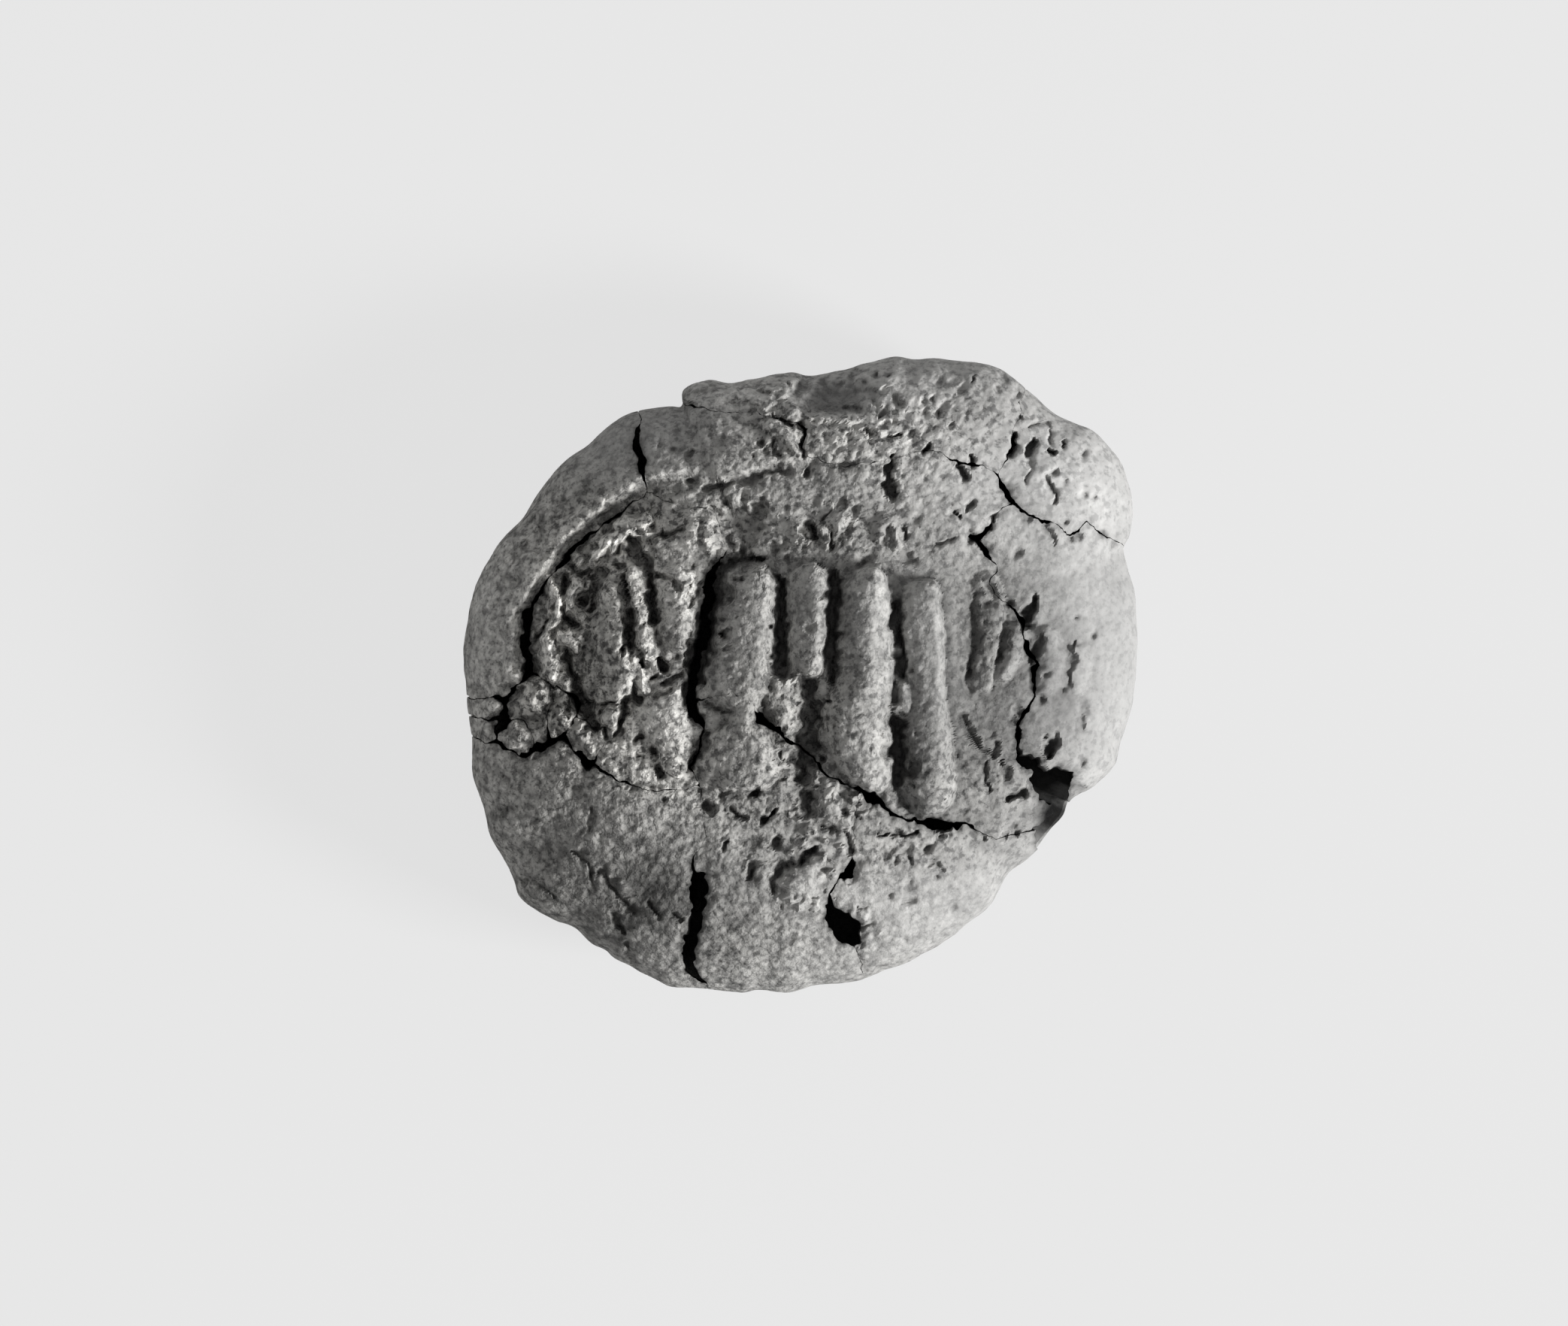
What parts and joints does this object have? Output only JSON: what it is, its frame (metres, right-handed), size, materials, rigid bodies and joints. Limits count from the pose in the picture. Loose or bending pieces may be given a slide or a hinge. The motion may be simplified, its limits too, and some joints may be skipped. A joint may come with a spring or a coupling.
{
  "type": "clay bulla",
  "caption": "Round lump of dried clay with a seal impression on its domed face, cracked into fragments over a flat back body that carries a cord channel.",
  "frame": {"origin": "middle of the bulla's outline, on its flat back", "axes": "+X to the right of the stamped face, +Y to its top, +Z out of it"},
  "size_m": [0.025, 0.0236, 0.0101],
  "materials": {
    "clay": "matte"
  },
  "bodies": {
    "root": {"back_body": "clay", "left_rim": "clay", "left_field": "clay", "central_field": "clay", "top_lump": "clay", "upper_right": "clay", "right_side": "clay", "lower_right": "clay", "lower_centre": "clay", "lower_left": "clay", "crumb_1": "clay", "crumb_2": "clay", "crumb_3": "clay", "crumb_4": "clay", "crumb_5": "clay", "crumb_6": "clay"}
  },
  "joints": []
}
